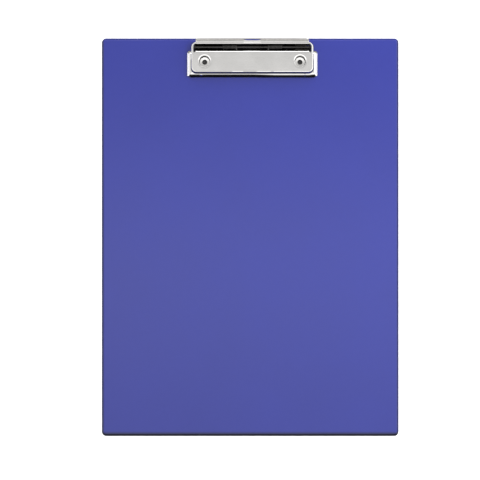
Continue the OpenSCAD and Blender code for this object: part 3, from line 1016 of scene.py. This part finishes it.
def front_start(x):
    """Where the lip's bend starts, a little later to the right: the bar is slightly twisted."""
    ends = np.clip((48.0 - np.abs(x)) / 3.0, 0, 1)
    return (0.49 * np.clip((x - 2) / 16.0, 0, 1) - 0.07) * ends


def dimples():
    return [(-40.3, -21.8), (41.5, -21.8)]


def jaw_map(p):
    x, y = p[:, 0], p[:, 1]
    cx, cy = np.clip(x, J_CORE[0], J_CORE[2]), np.clip(y, J_CORE[1], J_CORE[3])
    dx, dy = x - cx, y - cy
    ex, ey = np.abs(dx), np.abs(dy)
    both = (ex > 1e-9) & (ey > 1e-9)
    dist = np.where(both, (np.maximum(ex, 1e-9) ** J_P + np.maximum(ey, 1e-9) ** J_P) ** (1 / J_P), ex + ey)
    # share of the lip's profile: 0 at the sides and behind, 1 in front
    phi = np.degrees(np.arctan2(np.maximum(-dy, 0), np.maximum(ex, 1e-9)))
    w = np.clip((phi - 30) / 50, 0, 1)
    w = np.where(ex < 1e-9, np.where(dy < 0, 1.0, 0.0), w * w * (3 - 2 * w))
    total = J_SIDE + (J_LIP - J_SIDE) * w
    sh = np.where(w > 0.999, front_start(x), 0.0)
    k = np.clip((dist - sh) / (total - sh), -1, 1.05)
    us, ul = k * J_SIDE, np.where(w > 0.999, dist - sh, k * J_LIP)

    def along(tab, u, col):
        val = np.interp(u, tab[0], tab[col])
        slope = (tab[col][-1] - tab[col][-2]) / (tab[0][-1] - tab[0][-2])
        val = np.where(u > tab[0][-1], tab[col][-1] + (u - tab[0][-1]) * slope, val)
        return np.where(u < 0, u if col == 1 else 0.0, val)
    h = (1 - w) * along(SIDE, us, 1) + w * along(LIP, ul, 1) + np.where(w > 0.999, sh, 0.0)
    # the later the bend, the shorter the slope and the longer the straight edge
    lim = 3.0
    over = np.maximum(h - lim, 0)
    h = np.minimum(h, lim)
    drop = (1 - w) * along(SIDE, us, 2) + w * along(LIP, ul, 2)
    s = h / np.maximum(dist, 1e-9)
    s = np.where(dist > 1e-9, s, 1.0)
    X, Y, Z = cx + dx * s, cy + dy * s, -0.6 - drop
    # web, dip and lever
    c = (np.abs(x) < 45.82) & (y > -5.5)
    sy = np.interp(y, JS, JP[:, 0]); sz = np.interp(y, JS, JP[:, 1]); sa = np.interp(y, JS, JA)
    far = np.maximum(y - J_END, 0)
    sy, sz = sy + far * np.cos(sa), sz + far * np.sin(sa)
    bow = 0.10 * np.clip((y - 7) / 8.0, 0, 1) ** 2 * (1 - (x / 44.6) ** 2)
    Y = np.where(c, sy - 0.4 * np.sin(sa) + bow * np.cos(sa - math.pi / 2), Y)
    Z = np.where(c, sz + 0.4 * np.cos(sa), Z)
    # the shelf falls very slightly towards the lever's foot
    Z = Z - np.where(c & (np.abs(x) < 45.4), 0.02 * np.clip((y - JS_SHELF) / (JS_FOOT - JS_SHELF), 0, 1), 0.0)
    # two small raised pips on the front bar, stiffening the lip's ends
    for px, py in dimples():
        d2 = ((X - px) / 1.1) ** 2 + ((Y - py) / 0.7) ** 2
        Z = Z + 0.2 * np.exp(-d2 * 1.6)
    return np.stack([X, Y, Z], 1)


def corner_radius(phi, d, p=J_P):
    return d / (abs(math.cos(phi)) ** p + abs(math.sin(phi)) ** p) ** (1 / p)


def jaw_outline():
    R = [(0.0, J_CORE[1] - J_LIP)]
    for k in range(0, 25):
        phi = math.radians(-90 + 90 * k / 24)
        t = min(max((math.degrees(-phi) - 25) / 45, 0), 1)
        t = min(max((math.degrees(-phi) - 30) / 50, 0), 1)
        d = J_SIDE + (J_LIP - J_SIDE) * (t * t * (3 - 2 * t))
        q = corner_radius(phi, d)
        R.append((J_CORE[2] + q * math.cos(phi), J_CORE[1] + q * math.sin(phi)))
    for k in range(0, 21):
        phi = math.radians(90 * k / 20)
        q = corner_radius(phi, J_RIM)
        R.append((J_CORE[2] + q * math.cos(phi), J_CORE[3] + q * math.sin(phi)))
    n0 = len(R)
    R += [(46.0, J_CORE[3] + J_SIDE), (46.0, -5.1), (E_IN, -5.1), (E_IN, J_NARROW - 0.3), (44.6, J_NARROW + 0.5),
          (44.6, J_END), (0.0, J_END)]
    rad = [0.0] * len(R)
    rad[n0], rad[n0 + 1], rad[n0 + 2], rad[n0 + 3], rad[n0 + 4], rad[n0 + 5] = 0.4, 0.12, 0.12, 0.4, 0.6, 2.5
    L = [(-x, y) for x, y in R[::-1]][1:-1]
    rl = rad[::-1][1:-1]
    return soften(R + L, rad + rl, 8)


def jaw_window():
    q = []
    for cx, cy, a0 in ((44.0, -16.3, -90), (44.0, -11.0, 0), (-44.0, -11.0, 90), (-44.0, -16.3, 180)):
        q += [tuple(v) for v in arc(cx, cy, 4.5, a0, a0 + 90, 12)]
    pts = np.array(q)
    # clearance notches round the bosses are cut into the rear edge
    out = []
    y0 = -6.5
    for s in (1, -1):
        dy = y0 - RY
        hw = math.sqrt(6.5 ** 2 - dy ** 2)
        a = math.atan2(dy, hw)
        arcp = [(s * RX + 6.5 * math.cos(t), RY + 6.5 * math.sin(t))
                for t in np.linspace(a, math.pi - a, 17)]
        if s > 0:
            out += arcp
        else:
            out += arcp
    right = [tuple(v) for v in pts[:26]]          # front right corner and rear right corner
    left = [tuple(v) for v in pts[26:]]
    loop = right + out[:17] + out[17:] + left
    rad = [0.0] * len(loop)
    for i in (26, 26 + 16, 26 + 17, 26 + 33):
        rad[i] = 0.5
    return soften(loop, rad)[::-1]


def slot_loop():
    # from the lever's foot, y' 5.2, up to z' 7.5 on the lever
    v0 = float(JS[np.searchsorted(JP[:, 0], 5.2)])
    v1 = J_LEV + 7.5 - JP[np.searchsorted(JS, J_LEV), 1]
    q = []
    for cx, cy, a0 in ((6.75 - 2.4, v0 + 2.4, -90), (6.75 - 2.4, v1 - 2.4, 0), (-6.75 + 2.4, v1 - 2.4, 90),
                       (-6.75 + 2.4, v0 + 2.4, 180)):
        q += [tuple(v) for v in arc(cx, cy, 2.4, a0, a0 + 90, 10)]
    return closed(np.array(q))[::-1]


def build_jaw():
    outline = resample(jaw_outline(), 1.1)
    holes = [resample(jaw_window(), 1.0), resample(slot_loop(), 0.8)]
    pts = [ring_points(J_CORE, np.arange(0.12, J_LIP, 0.17), 1.2, 6, J_P)]
    zone = pts[0]
    pts[0] = zone[~((np.abs(zone[:, 0]) < 47.0) & (zone[:, 1] > -5.4))]
    # web, dip, lever
    va = []
    for v in JS:
        if v > -5.4 and (not va or v - va[-1] > 0.1):
            va.append(v)
    pts.append(grid_points(np.linspace(-45.2, 45.2, 61), np.array(va)))
    pts.append(grid_points(np.linspace(-44.5, 44.5, 40), [-6.2, -5.85]))
    # pips, on the same lines as the rim's points
    for px, py in dimples():
        pts.append(grid_points(np.arange(px - 2.4, px + 2.41, 0.24), J_CORE[1] - np.arange(0.12, J_LIP, 0.17)))
    V, F, N = sheet([outline] + holes, jaw_map, T, np.concatenate(pts), re=0.1, n_edge=3, clear=0.15)
    # ears that run on the pin, bent up from the ends of the dip
    a = np.radians(np.linspace(-180, 0, 33))
    ear = [(3.0 * math.cos(t), 3.0 * math.sin(t)) for t in a]
    ear += [(2.4 * math.cos(t), 2.4 * math.sin(t)) for t in np.radians(np.linspace(12, 168, 25))]
    ear = resample(soften(ear, 0.0), 0.4)
    hole = circle_loop(0, 0, 1.06, 40)[::-1]

    def ear_map(q):
        return np.stack([np.full(len(q), 45.8), q[:, 0], q[:, 1]], 1)
    e = sheet([ear, hole], ear_map, T, polar_points(0, 0, [1.4, 1.8, 2.2, 2.6], 40), re=0.14, n_edge=3, clear=0.1)
    V, F, N = merge((V, F, N), e, mirrored(e))
    return make_object("jaw_sheet", V, F, N, JAW, JAWM, ["jaw_lever"])


jaw = build_jaw()


# ------------------------------------------------- pin, springs and rivets --
def build_pin():
    xs = np.concatenate([[0.0], [1.0] * 41, [0.0]])
    h = 48.0
    sec = [(0.0, -h)]
    # straight shank between two peened heads, drawn as (radius, place along X)
    prof = [(0.0, -48.42), (1.15, -48.42), (1.42, -48.22), (1.42, -48.0), (1.0, -48.0)]
    rr = [0.0, 0.18, 0.14, 0.05, 0.0]
    prof += [(1.0, x) for x in np.linspace(-46, 46, 24)]
    rr += [0.0] * 24
    prof += [(1.0, 48.0), (1.42, 48.0), (1.42, 48.22), (1.15, 48.42), (0.0, 48.42)]
    rr += [0.0, 0.05, 0.14, 0.18, 0.0]
    P, Nn = fillet(prof, rr, 5)
    Nn[0], Nn[-1] = (0, -1), (0, 1)
    # keep the flats of the heads and the shank's ends crisp
    a = np.linspace(0, 2 * math.pi, 48, endpoint=False)
    m = len(P)
    V = np.stack([np.repeat(P[None, :, 1], 48, 0), P[None, :, 0] * np.cos(a)[:, None],
                  P[None, :, 0] * np.sin(a)[:, None]], 2).reshape(-1, 3)
    N = np.stack([np.repeat(Nn[None, :, 1], 48, 0), Nn[None, :, 0] * np.cos(a)[:, None],
                  Nn[None, :, 0] * np.sin(a)[:, None]], 2).reshape(-1, 3)
    F = []
    for i in range(48):
        j = (i + 1) % 48
        for k in range(m - 1):
            F.append((i * m + k, j * m + k, j * m + k + 1, i * m + k + 1))
    return make_object("hinge_pin_turned", V, F, N, ROOT, PIN, ["hinge_pin"])


def tube(path, r, sides=14, u_hint=np.array([1.0, 0, 0])):
    path = np.asarray(path, float)
    tan = np.gradient(path, axis=0)
    tan = unit(tan)
    V, N = [], []
    u = unit(u_hint - tan[0] * (u_hint @ tan[0]))
    a = np.linspace(0, 2 * math.pi, sides, endpoint=False)
    for p, t in zip(path, tan):
        u = unit(u - t * (u @ t))
        w = np.cross(t, u)
        d = np.cos(a)[:, None] * u + np.sin(a)[:, None] * w
        V.append(p + r * d)
        N.append(d)
    n = len(path)
    F = []
    for i in range(n - 1):
        for k in range(sides):
            l = (k + 1) % sides
            F.append((i * sides + k, i * sides + l, (i + 1) * sides + l, (i + 1) * sides + k))
    # cut ends: a short taper and a cap
    V, N = list(V), list(N)
    for end, sgn in ((0, -1), (n - 1, 1)):
        base = len(V)
        t = tan[end] * sgn
        ring = path[end] + (V[end] - path[end]) * 0.86 + t * r * 0.14
        V.append(ring)
        N.append(unit(N[end] * 0.6 + t))
        V.append(ring.copy())
        N.append(np.repeat(t[None], sides, 0))
        for k in range(sides):
            l = (k + 1) % sides
            q = (end * sides + k, base * sides + k, base * sides + l, end * sides + l)
            F.append(q if sgn < 0 else q[::-1])
        cap = tuple((base + 1) * sides + k for k in range(sides))
        F.append(cap if sgn > 0 else cap[::-1])
    return np.concatenate(V), F, np.concatenate(N)


def smooth_path(pts, step, r=0.5):
    """Runs a rounded line through a few points, with evenly spaced points."""
    pts = np.asarray(pts, float)
    out = [pts[0]]
    for i in range(1, len(pts) - 1):
        a, b, c = pts[i - 1], pts[i], pts[i + 1]
        cut = min(r, 0.45 * np.linalg.norm(b - a), 0.45 * np.linalg.norm(c - b))
        s, e = b + unit(a - b) * cut, b + unit(c - b) * cut
        for f in np.linspace(0, 1, 6):
            out.append((1 - f) ** 2 * s + 2 * f * (1 - f) * b + f * f * e)
    out.append(pts[-1])
    out = np.array(out)
    d = np.concatenate([[0], np.cumsum(np.linalg.norm(np.diff(out, axis=0), axis=1))])
    n = max(2, int(d[-1] / step))
    t = np.linspace(0, d[-1], n + 1)
    return np.stack([np.interp(t, d, out[:, k]) for k in range(3)], 1)


def build_spring(side):
    a0, a1, turns, rc, x0, pitch = 102.0, 232.0, 11, 1.8, 12.5, 1.04
    sweep = 360.0 * turns + a0 - a1
    length = pitch * sweep / 360.0
    n = int(sweep / 9)
    ang = np.radians(a0 - sweep * np.arange(n + 1) / n)
    coil = np.stack([x0 + length * np.arange(n + 1) / n, rc * np.cos(ang), rc * np.sin(ang)], 1)
    up = np.array([0, -math.cos(math.radians(12)), -math.sin(math.radians(12))])
    top = coil[0]
    leg0 = smooth_path([top + up * 4.6, top + up * 2.2, top + up * 0.25], 0.2, 0.4)
    xe = coil[-1, 0]
    sy, sz = rc * math.cos(math.radians(a1)), rc * math.sin(math.radians(a1))
    leg1 = smooth_path([coil[-1] + [0, -0.1, 0.08], [xe, sy - 0.63, sz + 0.493], [xe, -2.9, -0.02],
                        [xe, -3.5, 0.06], [xe, -4.2, 0.0], [xe, -6.0, -0.04]], 0.15, 0.5)
    path = np.concatenate([leg0[:-1], coil, leg1])
    bit = tube(path, 0.49, 14)
    if side < 0:
        bit = mirrored(bit)
    v, f, nn = bit
    ob = make_object("spring_" + ("left" if side < 0 else "right"), v, f, nn, None, WIRE,
                     ["torsion_spring_" + ("left" if side < 0 else "right")])
    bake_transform(ob)
    return ob


def build_rivet(side):
    prof = [(1.75, 0.10), (2.0, 0.05), (3.05, 0.05), (3.3, 0.2), (3.3, 0.35), (2.4, 0.35), (2.4, 3.8), (4.10, 3.8),
            (4.13, 4.2), (4.02, 4.40), (2.00, 4.30), (1.77, 4.1), (1.75, 3.4)]
    rad = [0.05, 0.1, 0.15, 0.1, 0.04, 0.05, 0.05, 0.05, 0.05, 0.07, 0.1, 0.08, 0.05]
    P, Nn = fillet(prof, rad, 6)
    v, f, nn = lathe(P, Nn, 72)
    # the flare was set a little off centre, towards the front
    v[:, 1] -= 0.12 * ((v[:, 2] > 3.75) & (np.hypot(v[:, 0], v[:, 1]) > 3.0))
    v[:, 0] += HX + side * RX
    v[:, 1] += HY + RY
    name = "left" if side < 0 else "right"
    return make_object("tube_rivet_" + name, v, f, nn, ROOT, RIVET, ["rivet_" + name], local=False)


def build_washer(side):
    prof = [(2.5, 0.35), (4.5, 0.35), (4.5, 0.85), (2.5, 0.85)]
    P, Nn = fillet(prof, [0.08, 0.14, 0.05, 0.05], 5)
    v, f, nn = lathe(P, Nn, 72)
    v[:, 0] += HX + side * RX
    v[:, 1] += HY + RY
    name = "left" if side < 0 else "right"
    return make_object("back_washer_" + name, v, f, nn, ROOT, RIVET, ["washer_" + name],
                       local=False)


pin = build_pin()
for sd in (-1, 1):
    build_spring(sd)
    build_rivet(sd)
    build_washer(sd)


# ------------------------------------------------------------------- stage --
def floor_material():
    """Pale seamless paper. It is bright to look at and gives little light back to the object, and the
    part of it under the board has no glow of its own and is painted dark grey, as painted shade."""
    m = bpy.data.materials.new("pale_floor")
    m.use_nodes = True
    g = Graph(m.node_tree)
    out = g.add("ShaderNodeOutputMaterial")
    co = g.add("ShaderNodeTexCoord").outputs["Object"]
    n = g.noise(co, 3.0, 3.0, 0.5)
    seen = g.add("ShaderNodeBsdfPrincipled")
    pale = g.mixcol(g.span(n, 0.3, 0.7, 0.0, 1.0), (0.90, 0.90, 0.90), (0.93, 0.93, 0.93))
    g.set(seen, "Roughness", g.span(n, 0.3, 0.7, 0.75, 0.85))
    seen.inputs["Specular IOR Level"].default_value = 0.1
    d = g.add("ShaderNodeSeparateXYZ", [co])
    ox = g.math("GREATER_THAN", g.math("ABSOLUTE", d.outputs[0]), 0.1165)
    oy = g.math("GREATER_THAN", g.math("ABSOLUTE", d.outputs[1]), 0.1565)
    clear = g.math("MAXIMUM", ox, oy)
    # painted shade: under the board's footprint the floor's colour is dark grey
    g.set(seen, "Base Color", g.mixcol(clear, (0.30, 0.30, 0.30), pale))
    glow = g.add("ShaderNodeEmission", {"Color": (1, 1, 1, 1)})
    g.set(glow, "Strength", g.math("MULTIPLY", clear, FLOOR_GLOW))
    both = g.add("ShaderNodeAddShader", [seen.outputs[0], glow.outputs[0]])
    dim = g.add("ShaderNodeBsdfDiffuse", {"Color": (FLOOR_BOUNCE, FLOOR_BOUNCE, FLOOR_BOUNCE, 1)})
    mix = g.add("ShaderNodeMixShader", [g.add("ShaderNodeLightPath").outputs["Is Camera Ray"],
                                        dim.outputs[0], both.outputs[0]])
    g.t.links.new(mix.outputs[0], out.inputs[0])
    return m


FLOOR_GLOW = 0.5
FLOOR_BOUNCE = 0.22


def make_floor():
    s, n = 3.0, 24
    V = [(-s + 2 * s * i / n, -s + 2 * s * j / n, -0.0003) for j in range(n + 1) for i in range(n + 1)]
    F = [(j * (n + 1) + i, j * (n + 1) + i + 1, (j + 1) * (n + 1) + i + 1, (j + 1) * (n + 1) + i)
         for j in range(n) for i in range(n)]
    me = bpy.data.meshes.new("floor")
    me.from_pydata(V, [], F)
    me.update()
    ob = bpy.data.objects.new("floor", me)
    scene.collection.objects.link(ob)
    me.materials.append(floor_material())


make_floor()

# The light of the studio as a function of direction: soft and even overhead, wide
# soft boxes at both sides and behind, and an unlit room in front.
#            degrees from overhead towards +Y (minus: towards -Y), radiance
ALONG_Y = [(-100, 0.02), (-66, 0.02), (-59, 0.10), (-53, 0.85), (-40, 1.10), (-25, 1.12), (-12, 1.20),
           (-7, 1.33), (-2, 2.0), (1, 1.95), (4, 1.14), (7, 0.77), (11, 0.67), (20, 0.67), (32, 0.93),
           (38, 2.3), (46, 3.3), (60, 3.2), (67, 2.0), (74, 0.7), (85, 0.5), (100, 0.4)]
#            degrees from overhead towards +X or -X, radiance
SIDE_R = [(0, 1.6), (22, 1.7), (38, 1.7), (60, 2.1), (80, 2.5), (90, 2.5)]
SIDE_L = [(0, 1.6), (22, 1.5), (36, 0.75), (50, 0.85), (68, 1.2), (76, 2.2), (90, 2.4)]
WORLD_GAIN = 1.0
CAMERA_SEES = 0.97


def make_world():
    w = bpy.data.worlds.new("studio")
    scene.world = w
    w.use_nodes = True
    g = Graph(w.node_tree)
    out = g.add("ShaderNodeOutputWorld")
    d = g.add("ShaderNodeSeparateXYZ", [g.add("ShaderNodeTexCoord").outputs["Generated"]])
    x, y, z = d.outputs

    def table(angle, stops, lo, hi):
        t = g.span(angle, math.radians(lo), math.radians(hi), 0.0, 1.0)
        s = [((a - lo) / (hi - lo), v / 4.0) for a, v in stops]
        return g.math("MULTIPLY", g.ramp(t, s), 4.0)

    ty = g.math("ARCTAN2", y, z)
    ax = g.math("ABSOLUTE", x)
    tx = g.math("ARCTAN2", ax, z)
    ly = table(ty, ALONG_Y, -100, 100)
    lr = table(tx, SIDE_R, 0, 90)
    ll = table(tx, SIDE_L, 0, 90)
    right = g.span(x, -0.05, 0.05, 0.0, 1.0)
    side = g.math("ADD", g.math("MULTIPLY", lr, right),
                  g.math("MULTIPLY", ll, g.math("SUBTRACT", 1.0, right)))
    # the side boxes end where the unlit front begins
    az = g.math("ARCTAN2", y, ax)
    side = g.math("MULTIPLY", side, g.span(az, math.radians(-60), math.radians(-25), 0.04, 1.0))
    wx = g.span(ax, 0.20, 0.50, 0.0, 1.0)
    wx = g.math("MULTIPLY", g.math("MULTIPLY", wx, wx), g.math("SUBTRACT", 3.0, g.math("MULTIPLY", wx, 2.0)))
    L = g.math("ADD", g.math("MULTIPLY", ly, g.math("SUBTRACT", 1.0, wx)), g.math("MULTIPLY", side, wx))
    L = g.math("MULTIPLY", L, g.span(z, -0.12, -0.02, 0.3, 1.0))
    L = g.math("MULTIPLY", L, WORLD_GAIN)
    col = g.add("ShaderNodeCombineColor", [L, L, L]).outputs[0]
    bg = g.add("ShaderNodeBackground", {"Color": col, "Strength": 1.0})
    seen = g.add("ShaderNodeBackground", {"Color": (CAMERA_SEES, CAMERA_SEES, CAMERA_SEES, 1.0),
                                          "Strength": 1.0})
    mix = g.add("ShaderNodeMixShader", [g.add("ShaderNodeLightPath").outputs["Is Camera Ray"],
                                        bg.outputs[0], seen.outputs[0]])
    g.t.links.new(mix.outputs[0], out.inputs[0])
    try:
        w.cycles.sampling_method = "MANUAL"
        w.cycles.sample_map_resolution = 1024
    except Exception:
        pass


make_world()


def area_light(name, at, size, power, towards=(0, 0, 0), color=(1, 1, 1)):
    l = bpy.data.lights.new(name, "AREA")
    l.shape = "RECTANGLE"
    l.size, l.size_y = size
    l.energy = power
    l.color = color
    ob = bpy.data.objects.new(name, l)
    scene.collection.objects.link(ob)
    ob.location = at
    ob.rotation_euler = (Vector(towards) - Vector(at)).to_track_quat("-Z", "Y").to_euler()
    ob.visible_camera = False
    ob.visible_glossy = False
    return ob


area_light("key", (0.36, 0.36, 0.62), (0.22, 0.22), 2.2, towards=(0.0, 0.0, 0.0))

cam = bpy.data.cameras.new("camera")
cam.sensor_width = 36.0
cam.sensor_fit = "HORIZONTAL"
cam.lens = 36.0 * 1.2 / (480 * 0.0007913)
cam.clip_start, cam.clip_end = 0.01, 20.0
cam_ob = bpy.data.objects.new("camera", cam)
scene.collection.objects.link(cam_ob)
cam_ob.location = (-0.00812, -0.00223, 1.203)
cam_ob.rotation_euler = (0.0, 0.0, 0.0)
scene.camera = cam_ob
scene.view_settings.view_transform = "Standard"
scene.view_settings.look = "None"
scene.view_settings.exposure = 0.0
scene.view_settings.gamma = 1.0

KEEP_CAD = {"board_core": CORE}


# ------------------------------------------------------------------ finish --
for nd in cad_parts.values():
    if nd.name in KEEP_CAD:
        nd.data.materials.clear()
        nd.data.materials.append(KEEP_CAD[nd.name])
